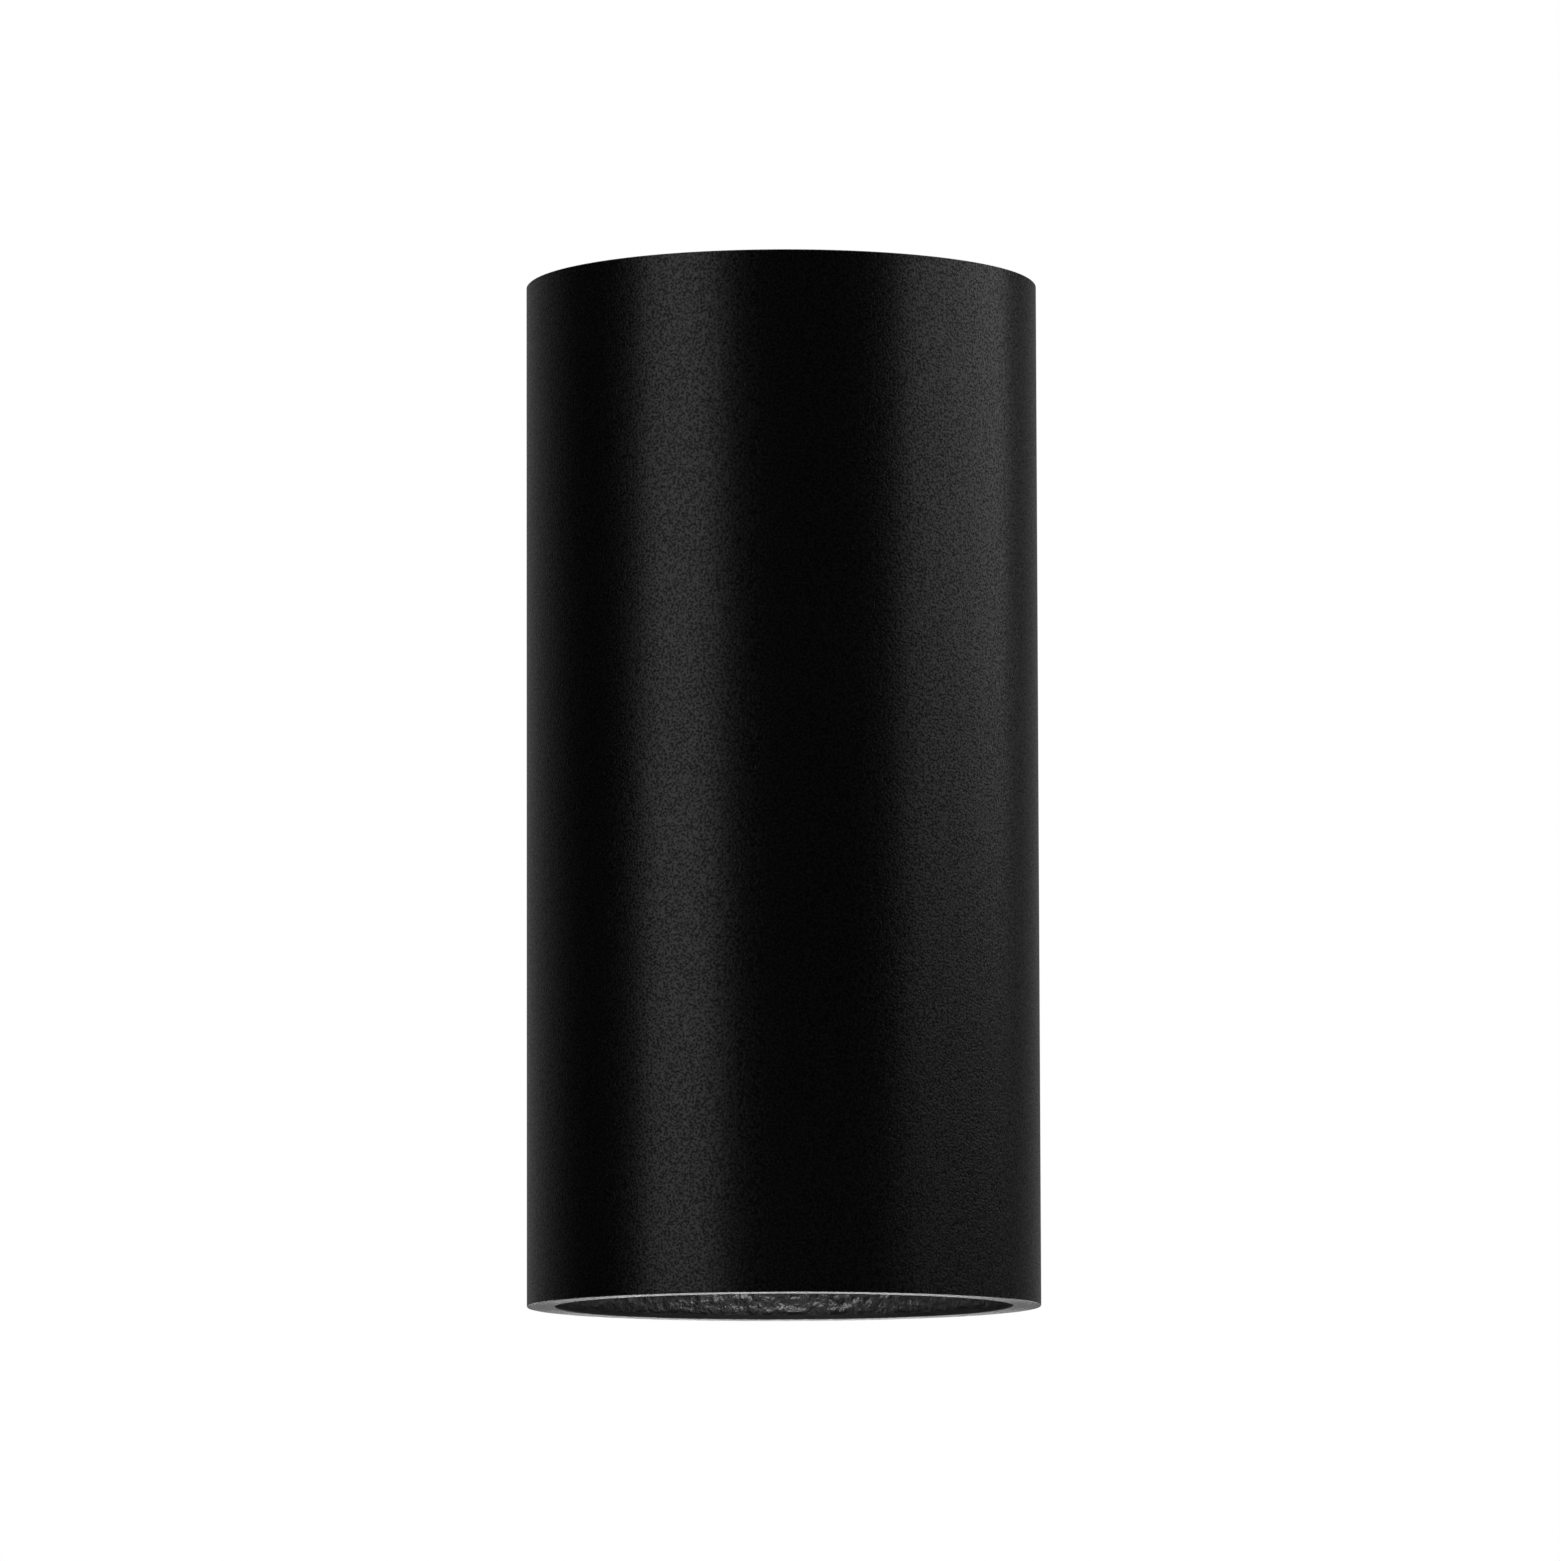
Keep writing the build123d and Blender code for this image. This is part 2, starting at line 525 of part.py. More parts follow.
def lamp_units():
    """Everything that each mouth holds. The upper unit is the lower one turned over."""
    makers = {
        "lampholder": lampholder,
        "holder_contacts": holder_contacts,
        "holder_screws": holder_screws,
        "lamp_body": lamp_body,
        "lamp_lens": lamp_lens,
        "lamp_pins": lamp_pins,
        "glare_ring": glare_ring,
        "ring_clips": ring_clips,
    }
    on_axis = Pos(0, -TUBE_AXIS_DEPTH, 0)
    units = {}
    for name, maker in makers.items():
        piece = maker()
        units["lower_" + name] = on_axis * piece
        units["upper_" + name] = on_axis * Rot(180, 0, 0) * piece
    return units


def wall_light():
    """Every node of the light by name."""
    pieces = {
        "tube_housing": tube_housing(),
        "back_box": back_box(),
        "wall_bracket": wall_bracket(),
        "fixing_screws": fixing_screws(),
        "threaded_nipple": threaded_nipple(),
        "box_nut": nut(NUT_PAD_DEPTH - NUT_THICKNESS),
        "bracket_nut": nut(WEB_FACE_DEPTH),
        "saddle_block": saddle_block(),
        "lamp_bracket": lamp_bracket(),
        "terminal_block": terminal_block(),
        "terminal_bars": terminal_bars(),
        "terminal_springs": terminal_springs(),
        "block_screw": block_screw(),
        "earth_clamp": earth_clamp(),
        "earth_screw": earth_screw(),
    }
    pieces.update(lamp_units())
    pieces.update(leads())
    return pieces


os.makedirs("parts", exist_ok=True)
for node, piece in wall_light().items():
    export_step(piece, f"parts/{node}.step")
    print(node, round(piece.volume, 1))
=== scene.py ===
# %% [markdown]
# # A tube wall light, dressed for its picture
# The parts are right in size and place, so nothing here moves them. What this lesson adds is what
# the eye reads: crisp and broken edges, coats, cast and cut metal, and the light they stand in.
# The unit is the metre, the wall is the plane y = 0, and the room lies towards -Y.

import json
import math

import bpy
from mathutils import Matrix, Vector

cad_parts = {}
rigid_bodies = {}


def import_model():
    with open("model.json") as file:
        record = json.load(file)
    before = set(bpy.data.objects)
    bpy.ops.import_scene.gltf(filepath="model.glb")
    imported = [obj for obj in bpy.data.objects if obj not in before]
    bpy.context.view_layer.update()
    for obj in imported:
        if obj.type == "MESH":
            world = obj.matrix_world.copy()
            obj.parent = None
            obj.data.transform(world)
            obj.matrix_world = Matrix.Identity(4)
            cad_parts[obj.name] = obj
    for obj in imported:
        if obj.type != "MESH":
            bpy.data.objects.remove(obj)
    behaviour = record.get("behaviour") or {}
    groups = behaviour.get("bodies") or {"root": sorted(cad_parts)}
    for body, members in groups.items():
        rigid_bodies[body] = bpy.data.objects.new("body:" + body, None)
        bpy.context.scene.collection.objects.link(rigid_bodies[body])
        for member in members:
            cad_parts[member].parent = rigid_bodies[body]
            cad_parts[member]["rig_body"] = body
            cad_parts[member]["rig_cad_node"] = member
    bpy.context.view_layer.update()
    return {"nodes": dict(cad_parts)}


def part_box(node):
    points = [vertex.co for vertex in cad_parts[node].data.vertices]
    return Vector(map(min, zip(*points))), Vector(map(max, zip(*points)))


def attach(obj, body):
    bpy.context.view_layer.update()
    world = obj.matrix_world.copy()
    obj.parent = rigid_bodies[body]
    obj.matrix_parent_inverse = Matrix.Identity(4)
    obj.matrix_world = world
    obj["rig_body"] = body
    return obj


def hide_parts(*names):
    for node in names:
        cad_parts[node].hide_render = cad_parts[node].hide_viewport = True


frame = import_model()
nodes = frame["nodes"]

# %% [markdown]
# ## Where things are
# The tube's place and outer size are read from the frame, so that the new pieces follow the part
# they stand for. Its wall has two thicknesses: it is a little thinner in the mouths, which are
# counterbored. Lower and upper pieces mirror each other, so their heights differ by a sign.

# %% Sizes
WALL = 0.0065
MOUTH_WALL = 0.0054
MOUTH_DEPTH = 0.024
tube_low, tube_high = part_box("tube_housing")
AXIS_Y = (tube_low.y + tube_high.y) / 2
TUBE_R = (tube_high.x - tube_low.x) / 2
TUBE_END = tube_high.z
BORE_R = TUBE_R - WALL
MOUTH_R = TUBE_R - MOUTH_WALL
SHOULDER = TUBE_END - MOUTH_DEPTH
SIDES = {"lower": -1, "upper": 1}
print("axis at", round(AXIS_Y, 4), "tube radius", round(TUBE_R, 4), "mouth radius", round(MOUTH_R, 4))

# %% [markdown]
# ## The camera first
# The picture was taken with a long lens, from below the middle of the tube and tipped up a
# little, so that the lower mouth shows as a thin ellipse and both sides lean together slightly.
# One could shift and tilt a camera until it looks right. Working back from the ellipses of the
# two ends is surer, and gives the lens, the distance and the tilt.

# %% Camera
CAMERA_ASIDE = -0.0005
CAMERA_AWAY = 2.0825
CAMERA_HEIGHT = -0.2186
TILT_UP = 6.0707
TURN_ASIDE = -0.161

camera = bpy.data.objects.new("camera", bpy.data.cameras.new("camera"))
bpy.context.scene.collection.objects.link(camera)
camera.data.sensor_width = 36.0
camera.data.lens = 247.2
camera.data.clip_end = 50
camera.location = (CAMERA_ASIDE, AXIS_Y - CAMERA_AWAY, CAMERA_HEIGHT)
camera.rotation_mode = "ZYX"
camera.rotation_euler = (math.radians(90 + TILT_UP), 0, math.radians(TURN_ASIDE))
bpy.context.scene.camera = camera
print("camera", [round(v, 4) for v in camera.location], "lens", camera.data.lens)

# %% [markdown]
# ## Materials: tools for nodes
# By hand one adds a shader node, types its values and drags wires to it. `add_node` does these
# three things in one line. The two nodes that are needed most, Map Range and Math, get a helper
# each, which gives back the wire's end.

# %% Node tools
def fill_in(node, inputs):
    """Gives each named input of a node a plain value, or a wire from another node's output."""
    for label, value in inputs.items():
        if isinstance(value, bpy.types.NodeSocket):
            node.id_data.links.new(value, node.inputs[label])
        else:
            node.inputs[label].default_value = value


def add_node(tree, kind, inputs=None, **settings):
    """A new shader node with its settings and its inputs filled in."""
    node = tree.nodes.new("ShaderNode" + kind)
    for setting, value in settings.items():
        setattr(node, setting, value)
    fill_in(node, inputs or {})
    return node


def ramp(tree, value, low=0.0, high=1.0, start=0.0, end=1.0, **settings):
    """What a Map Range node makes of a value: start at low, end at high, and no more beyond."""
    inputs = {"Value": value, "From Min": low, "From Max": high, "To Min": start, "To Max": end}
    return add_node(tree, "MapRange", inputs, **settings).outputs["Result"]


def combined(tree, operation, first, second, **settings):
    """What a Math node makes of two values."""
    return add_node(tree, "Math", {0: first, 1: second}, operation=operation, **settings).outputs["Value"]


def object_point(tree):
    """Where a point lies in the space of its piece, in metres."""
    return add_node(tree, "TexCoord").outputs["Object"]


print("node tools ready")

# %% [markdown]
# ## Shared effects
# Several finishes share an effect: the grain of a coat, the marks that a lathe or a roller leaves,
# and the slow drift in tone that every real surface has. One could build the nodes anew in each
# material. As node groups with a few named inputs they are built once, and each material sets its
# own values. A group gives out only masks and normals. The shader stays in its material.

# %% Node groups
EFFECTS = {}
MARK_OUTPUTS = {"Normal": "NodeSocketVector", "Mask": "NodeSocketFloat"}
NOISE_LOW = 0.35
NOISE_HIGH = 0.65


def new_group(name, inputs, outputs):
    """An empty shader node group with its sockets, and its two end nodes."""
    tree = bpy.data.node_groups.new(name, "ShaderNodeTree")
    for label, value in inputs.items():
        socket = tree.interface.new_socket(label, in_out="INPUT", socket_type="NodeSocketFloat")
        socket.default_value = value
    for label, kind in outputs.items():
        tree.interface.new_socket(label, in_out="OUTPUT", socket_type=kind)
    return tree, tree.nodes.new("NodeGroupInput"), tree.nodes.new("NodeGroupOutput")


def give_marks(tree, into, out, noise):
    """Gives out a noise as a normal at the group's depth, and as a mask stretched over 0 to 1."""
    height = noise.outputs["Fac"]
    bump = add_node(tree, "Bump", {"Height": height, "Distance": into.outputs["Depth"]})
    fill_in(out, {"Normal": bump.outputs["Normal"], "Mask": ramp(tree, height, NOISE_LOW, NOISE_HIGH)})
    return tree


print("group tools ready")

# %% [markdown]
# Grain is the pebbled skin of a sprayed or moulded surface. A noise texture is enough for it,
# because its specks are too small to show a shape of their own.

# %% Grain
def grain_group():
    """Fine grain, in marks per metre and with a depth in metres."""
    inputs = {"Marks per metre": 3000.0, "Depth": 0.00002, "Detail": 2.0}
    tree, into, out = new_group("surface_grain", inputs, MARK_OUTPUTS)
    noise = add_node(tree, "TexNoise", {"Vector": object_point(tree), "Detail": into.outputs["Detail"],
                                        "Scale": into.outputs["Marks per metre"], "Roughness": 0.6})
    return give_marks(tree, into, out, noise)


EFFECTS["grain"] = grain_group()
print("effect:", EFFECTS["grain"].name)

# %% [markdown]
# Drift is what handling, thin spots and dust do to a tone, from patches of a few centimetres down
# to specks. It is a softer noise with many levels of detail, and gives a value between two limits.

# %% Drift
def drift_group():
    """Slow drift in tone, between a low and a high value."""
    inputs = {"Patches per metre": 30.0, "Low": 0.0, "High": 1.0}
    tree, into, out = new_group("tone_drift", inputs, {"Value": "NodeSocketFloat"})
    noise = add_node(tree, "TexNoise", {"Vector": object_point(tree), "Detail": 5.0, "Roughness": 0.62,
                                        "Scale": into.outputs["Patches per metre"]})
    drift = ramp(tree, noise.outputs["Fac"], low=0.3, high=0.7, start=into.outputs["Low"],
                 end=into.outputs["High"])
    fill_in(out, {"Value": drift})
    return tree


EFFECTS["drift"] = drift_group()
print("effect:", EFFECTS["drift"].name)

# %% [markdown]
# A lathe cuts rings round its axis. A wave texture would draw them too, but all alike. Here a
# noise changes with nothing but the distance from the tube's axis, so each ring is different. The
# Mapping node moves the axis to the middle and flattens the height away.

# %% Lathe marks
def lathe_group():
    """Rings cut by a lathe round the tube's axis."""
    tree, into, out = new_group("lathe_marks", {"Marks per metre": 4000.0, "Depth": 0.000004}, MARK_OUTPUTS)
    flat = add_node(tree, "Mapping", {"Vector": object_point(tree), "Location": (0, -AXIS_Y, 0),
                                      "Scale": (1, 1, 0)})
    distance = add_node(tree, "VectorMath", {0: flat.outputs["Vector"]}, operation="LENGTH")
    noise = add_node(tree, "TexNoise", noise_dimensions="1D")
    fill_in(noise, {"W": distance.outputs["Value"], "Scale": into.outputs["Marks per metre"], "Detail": 3.0})
    return give_marks(tree, into, out, noise)


EFFECTS["lathe"] = lathe_group()
print("effect:", EFFECTS["lathe"].name)

# %% [markdown]
# Rolled and drawn sheet has long, fine marks the way it ran through the rolls. The same noise,
# stretched more than thirty times along the height, makes them.

# %% Rolling marks
def rolled_group():
    """Long marks of rolled or drawn sheet, running upright."""
    tree, into, out = new_group("rolling_marks", {"Marks per metre": 1500.0, "Depth": 0.000004}, MARK_OUTPUTS)
    stretched = add_node(tree, "Mapping", {"Vector": object_point(tree), "Scale": (1, 1, 0.03)})
    noise = add_node(tree, "TexNoise", {"Vector": stretched.outputs["Vector"], "Detail": 3.0,
                                        "Scale": into.outputs["Marks per metre"]})
    return give_marks(tree, into, out, noise)


EFFECTS["rolled"] = rolled_group()
print("effects:", sorted(EFFECTS))

# %% [markdown]
# ## Finishes
# A finish is a Principled shader with two colours and two roughnesses that the drift mixes, and
# one effect for its normal. Some mix partly by the effect's own mask, and the tube's coat also
# takes its gloss, a thin clear layer, from that mask. One could build each by hand in the shader
# editor, but they would soon differ in more than their numbers. `finish` builds them all alike,
# and each call says what the surface is: how dark, how rough, how coarse.

# %% A finish
GLOSS_ROUGHNESS = 0.29


def shader_of(material):
    """The shader node of a material."""
    return material.node_tree.nodes["Principled BSDF"]


def finish(name, colours, roughness, metal=0.0, effect="grain", marks=3000.0, depth=0.00002,
           detail=2.0, patches=30.0, specular=0.5, by_mask=0.0, gloss=None):
    """A material from a pair of colours, a pair of roughnesses and one effect."""
    material = bpy.data.materials.new(name)
    material.use_nodes = True
    tree = material.node_tree
    surface = add_node(tree, "Group", {"Marks per metre": marks, "Depth": depth}, node_tree=EFFECTS[effect])
    if effect == "grain":
        fill_in(surface, {"Detail": detail})
    drift = add_node(tree, "Group", {"Patches per metre": patches}, node_tree=EFFECTS["drift"])
    mask = drift.outputs["Value"]
    if by_mask:
        shared = add_node(tree, "Mix", {"Factor": by_mask, "A": mask, "B": surface.outputs["Mask"]})
        mask = shared.outputs["Result"]
    ends = {"A": (*colours[0], 1), "B": (*colours[1], 1)}
    blend = add_node(tree, "Mix", {"Factor": mask, **ends}, data_type="RGBA")
    fill_in(shader_of(material), {
        "Base Color": blend.outputs["Result"],
        "Metallic": metal,
        "Roughness": ramp(tree, mask, start=roughness[0], end=roughness[1]),
        "Specular IOR Level": specular,
        "Normal": surface.outputs["Normal"],
    })
    if gloss:
        weight = ramp(tree, surface.outputs["Mask"], start=gloss[0], end=gloss[1])
        fill_in(shader_of(material), {"Coat Weight": weight, "Coat Roughness": GLOSS_ROUGHNESS})
    return material


def grey(value, tint=0.0):
    """A grey, a little cooler with a positive tint and warmer with a negative one."""
    return (value * (1 - tint), value, value * (1 + tint))


print("a finish can use", len(EFFECTS), "effects")

# %% [markdown]
# ### Coats and cut metal
# The tube's coat is a fine-textured matt black powder: almost black in itself, so all that shows
# is what it mirrors. Its grain sets how strongly each speck mirrors (the gloss), because a bump
# alone blurs away at this distance. Inside the mouths the powder lies thick and crinkled, with a
# smooth lip at the edge. Each end was faced on a lathe after coating, which leaves a satin ring of
# bare aluminium. Its fine rings spread light across themselves and not along, so it is
# anisotropic: bright at the near and the far side, and grey at the left and the right.

# %% Coat materials
coat_black = finish("coat_black", (grey(0.0002), grey(0.0004)), (0.2, 0.26), marks=2400.0, depth=0.00012,
                    detail=0.3, patches=18.0, specular=0.12, gloss=(0.15, 0.95))
coat_crinkle = finish("coat_crinkle", (grey(0.004), grey(0.012)), (0.38, 0.5), marks=800.0, depth=0.0006,
                      patches=320.0, specular=1.0, by_mask=0.6)
fill_in(shader_of(coat_crinkle), {"IOR": 1.8})
coat_lip = finish("coat_lip", (grey(0.012), grey(0.02)), (0.4, 0.5), marks=900.0, depth=0.00004,
                  patches=200.0)
coat_bore = finish("coat_bore", (grey(0.01), grey(0.016)), (0.5, 0.65), marks=1400.0, depth=0.00004)
coat_box = finish("coat_box", (grey(0.012), grey(0.018)), (0.36, 0.46), marks=2200.0, depth=0.000016)
rim_metal = finish("rim_metal", (grey(0.46), grey(0.56)), (0.14, 0.18), metal=1.0, effect="lathe",
                   marks=9000.0, depth=0.000006, patches=60.0, by_mask=0.4)
fill_in(shader_of(rim_metal), {"Anisotropic": 0.95, "Anisotropic Rotation": 0.25})
print("coats:", [m.name for m in (coat_black, coat_crinkle, coat_lip, coat_bore, coat_box, rim_metal)])

# %% [markdown]
# ### The hardware's finishes
# Behind and inside are plain working parts: zinc-plated steel, black screws, cast aluminium, a
# ceramic holder, brass contacts, spring steel, white lamps and insulated leads. They differ in
# colour and roughness, and sheet metal has the long marks of its rolling.

# %% Hardware materials
zinc = finish("zinc_plate", (grey(0.5, 0.02), grey(0.64, -0.015)), (0.26, 0.42), metal=1.0, effect="rolled",
              marks=1400.0, depth=0.000006, patches=90.0, by_mask=0.3)
screw_zinc = finish("zinc_screw", (grey(0.44), grey(0.58, -0.02)), (0.24, 0.38), metal=1.0,
                    marks=2200.0, depth=0.000006, patches=200.0)
screw_black = finish("black_screw", (grey(0.014), grey(0.026)), (0.34, 0.5), metal=0.4,
                     marks=2600.0, depth=0.000008, patches=240.0)
cast_metal = finish("cast_aluminium", (grey(0.42), grey(0.58)), (0.45, 0.62), metal=1.0,
                    marks=900.0, depth=0.00004, patches=110.0, by_mask=0.4)
ceramic = finish("holder_ceramic", (grey(0.7, -0.05), grey(0.82, -0.03)), (0.4, 0.55),
                 marks=1300.0, depth=0.00001, patches=70.0)
brass = finish("contact_brass", ((0.62, 0.42, 0.16), (0.78, 0.58, 0.27)), (0.25, 0.4), metal=1.0,
               effect="rolled", marks=1800.0, depth=0.000004, patches=160.0)
spring = finish("spring_steel", (grey(0.4, 0.02), grey(0.55)), (0.22, 0.34), metal=1.0, effect="rolled",
                marks=2400.0, depth=0.000004, patches=140.0)
lamp_white = finish("lamp_white", (grey(0.66), grey(0.78, -0.01)), (0.3, 0.42),
                    marks=1600.0, depth=0.000008, patches=60.0)
pin_metal = finish("pin_nickel", (grey(0.55), grey(0.68, -0.02)), (0.16, 0.28), metal=1.0,
                   marks=1800.0, depth=0.000003, patches=200.0)
ring_black = finish("ring_black", (grey(0.012), grey(0.02)), (0.4, 0.54), marks=2400.0, depth=0.000014,
                    patches=50.0)
moulded_white = finish("terminal_white", (grey(0.62, -0.02), grey(0.74, -0.01)), (0.38, 0.5),
                       marks=1700.0, depth=0.00001, patches=80.0)
brown = finish("lead_brown", ((0.075, 0.026, 0.012), (0.12, 0.045, 0.02)), (0.4, 0.55),
               marks=1200.0, depth=0.000008, patches=120.0)
blue = finish("lead_blue", ((0.012, 0.04, 0.17), (0.022, 0.065, 0.26)), (0.4, 0.55),
              marks=1200.0, depth=0.000008, patches=120.0)
print("metals:", [m.name for m in (zinc, screw_zinc, screw_black, cast_metal, brass, spring, pin_metal)])
print("others:", [m.name for m in (ceramic, lamp_white, ring_black, moulded_white, brown, blue)])

# %% [markdown]
# The lamp's lens is frosted plastic. It lets light into it and scatters it, so it looks milky
# rather than clear. Its clearness is one plain value on the shader.

# %% Lens material
lens_frost = finish("lens_frost", (grey(0.74, 0.01), grey(0.84, 0.01)), (0.3, 0.42),
                    marks=1500.0, depth=0.00002, patches=90.0)
fill_in(shader_of(lens_frost), {"Transmission Weight": 0.25})
print("finish:", lens_frost.name)

# %% [markdown]
# ## Handling pieces
# By hand one clicks on a piece, opens it for editing, or adds a modifier and applies it. These
# helpers take the same steps, and always clear the selection first, because an operator acts on
# all that is selected. A finished piece is settled: its place is in its mesh and its object stays
# at the origin, as it is with the parts from the frame.

# %% Handling pieces
def deselect():
    """Leaves edit mode and selects nothing."""
    if bpy.context.object and bpy.context.object.mode != "OBJECT":
        bpy.ops.object.mode_set(mode="OBJECT")
    bpy.ops.object.select_all(action="DESELECT")


def pick(piece, *others):
    """Selects a piece, and others with it, and makes the piece the active one."""
    deselect()
    for each in (piece, *others):
        each.select_set(True)
    bpy.context.view_layer.objects.active = piece


def edit(piece, element, action="SELECT"):
    """Opens one piece for editing with all or nothing selected in it."""
    pick(piece)
    bpy.ops.object.mode_set(mode="EDIT")
    bpy.ops.mesh.select_mode(type=element)
    bpy.ops.mesh.select_all(action=action)


def modify(piece, kind, **settings):
    """Gives a piece a modifier with its settings, and applies it."""
    pick(piece)
    modifier = piece.modifiers.new(kind, kind)
    for setting, value in settings.items():
        setattr(modifier, setting, value)
    bpy.ops.object.modifier_apply(modifier=modifier.name)


def settle(piece, name):
    """Names the piece, puts its place into its mesh and leaves its object at the origin."""
    pick(piece)
    piece.name = name
    piece.data.name = name
    bpy.ops.object.transform_apply(location=True, rotation=True, scale=True)
    return piece


def report(piece):
    """Prints how large a new piece is."""
    low = [round(min(c[i] for c in piece.bound_box), 4) for i in range(3)]
    high = [round(max(c[i] for c in piece.bound_box), 4) for i in range(3)]
    print(piece.name, len(piece.data.polygons), "faces, from", low, "to", high)


print("piece tools ready")

# %% [markdown]
# ## Turned pieces
# A tube, a ring and a lamp are all turned. The spin operator could sweep their outline. Simpler is
# to add a circle and extrude it along the outline, scaling as one goes. `turned` does just that:
# a circle of the first radius, one extrusion for each next corner, and the seam or the two ends
# closed last. It is used for every round piece, so they all share the same way of working.

# %% Turning
def turned(name, outline, segments, y=AXIS_Y, closed=False):
    """A body turned about an upright axis from (radius, height) corners."""
    deselect()
    radius, height = outline[0]
    bpy.ops.mesh.primitive_circle_add(vertices=segments, radius=radius, location=(0, y, height))
    piece = bpy.context.object
    bpy.ops.object.mode_set(mode="EDIT")
    bpy.ops.mesh.select_mode(type="EDGE")
    bpy.ops.mesh.select_all(action="SELECT")
    if not closed:
        bpy.ops.mesh.edge_face_add()
        bpy.ops.mesh.select_mode(type="EDGE")
    path = outline[1:] + outline[:1] if closed else outline[1:]
    for next_radius, next_height in path:
        bpy.ops.mesh.extrude_region_move(TRANSFORM_OT_translate={"value": (0, 0, next_height - height)})
        scale = next_radius / radius
        bpy.ops.transform.resize(value=(scale, scale, 1), center_override=(0, y, next_height))
        radius, height = next_radius, next_height
    if not closed:
        bpy.ops.mesh.edge_face_add()
    bpy.ops.mesh.select_all(action="SELECT")
    bpy.ops.mesh.remove_doubles(threshold=1e-6)
    bpy.ops.mesh.normals_make_consistent(inside=False)
    bpy.ops.object.mode_set(mode="OBJECT")
    return settle(piece, name)


print("turning ready")

# %% [markdown]
# ## The tube
# The outline of the tube's wall is turned in one go, both rims and both counterbored mouths in
# it. The rims' outer and inner corners are broken by a hair. The coat covers these breaks, so only
# the flat of the rim is bare. Behind a smooth lip, each mouth has a band where the thick coat
# crinkles, and the outline has a corner at both ends of that band.

# %% Tube blank
RIM_BREAK = 0.00012
CRINKLED = 0.0115
LIP = 0.0009


def lower_outline():
    """The wall's corners from the bore's middle round the lower rim to the outside's middle."""
    return [
        (BORE_R, 0.0), (BORE_R, -SHOULDER), (MOUTH_R, -SHOULDER), (MOUTH_R, -TUBE_END + CRINKLED),
        (MOUTH_R, -TUBE_END + LIP), (MOUTH_R, -TUBE_END + RIM_BREAK), (MOUTH_R + RIM_BREAK, -TUBE_END),
        (TUBE_R - RIM_BREAK, -TUBE_END), (TUBE_R, -TUBE_END + RIM_BREAK), (TUBE_R, 0.0),
    ]


lower_half = lower_outline()
upper_half = [(radius, -height) for radius, height in reversed(lower_half[1:-1])]
tube = turned("tube_shell", lower_half + upper_half, segments=512, closed=True)
report(tube)

# %% [markdown]
# The crinkled band is divided along its height only: with just its upright edges selected, the
# subdivide operator adds level rows. Code picks the edges by the place of their two ends, and can
# do so only outside edit mode. Subdividing the whole tube would give rows too, but would fill the
# plain walls with faces that show nothing.

# %% Rows in the mouths
ROWS = 31
ON_THE_WALL = 0.0001
SAME_HEIGHT = 1e-6
UPRIGHT = 0.001


def is_mouth_wall(point):
    """Whether a point is on the inside wall of a mouth, in the crinkled band."""
    from_end = TUBE_END - abs(point.z)
    if not LIP - SAME_HEIGHT <= from_end <= CRINKLED + SAME_HEIGHT:
        return False
    return math.hypot(point.x, point.y - AXIS_Y) < MOUTH_R + ON_THE_WALL


edit(tube, "EDGE", "DESELECT")
bpy.ops.object.mode_set(mode="OBJECT")
points = tube.data.vertices
for edge in tube.data.edges:
    start, end = (points[i].co for i in edge.vertices)
    edge.select = is_mouth_wall(start) and is_mouth_wall(end) and abs(start.z - end.z) > UPRIGHT
bpy.ops.object.mode_set(mode="EDIT")
bpy.ops.mesh.subdivide(number_cuts=ROWS)
bpy.ops.object.mode_set(mode="OBJECT")
report(tube)

# %% [markdown]
# The thick coat is real relief: a displacement by a noise of small clouds makes hollows up to a
# millimetre deep. A bump alone would look flat where light grazes the wall. A vertex group holds
# the displacement to the rows and lets it fade out at both ends. A high middle level sends nearly
# all of it into the wall, out of the way of the glare ring that slides through the mouth.

# %% Crinkled mouths
FADE_AT_LIP = 0.0006
FADE_AT_END = 0.0012

band = tube.vertex_groups.new(name="crinkle")
for vertex in tube.data.vertices:
    if is_mouth_wall(vertex.co):
        from_end = TUBE_END - abs(vertex.co.z)
        share = min(1.0, (from_end - LIP) / FADE_AT_LIP, (CRINKLED - from_end) / FADE_AT_END)
        band.add([vertex.index], share, "REPLACE")
blobs = bpy.data.textures.new("crinkle blobs", "CLOUDS")
blobs.noise_scale = 0.0014
blobs.noise_depth = 2
modify(tube, "DISPLACE", texture=blobs, texture_coords="LOCAL", vertex_group="crinkle", mid_level=0.9,
       strength=0.0011)
report(tube)

# %% [markdown]
# Each face of the tube gets its finish by where it is: the outside is the fine coat, the flat
# ends are bare metal, the mouths are crinkled behind their lip, and the deep bore is plain. Nearly
# flat faces are then shaded as one smooth surface, and sharper edges stay sharp.

# %% Tube finishes
TUBE_FINISHES = [coat_black, rim_metal, coat_crinkle, coat_bore, coat_lip]
NEAR_OUTSIDE = 0.0004
NEAR_BORE = 0.0002


def tube_finish(centre):
    """The finish of a face of the tube, by where its centre is."""
    radius = math.hypot(centre.x, centre.y - AXIS_Y)
    height = abs(centre.z)
    if height > TUBE_END - RIM_BREAK / 4:
        return rim_metal
    if radius > TUBE_R - NEAR_OUTSIDE:
        return coat_black
    if height > SHOULDER and radius > BORE_R + NEAR_BORE:
        return coat_lip if height > TUBE_END - LIP else coat_crinkle
    return coat_bore


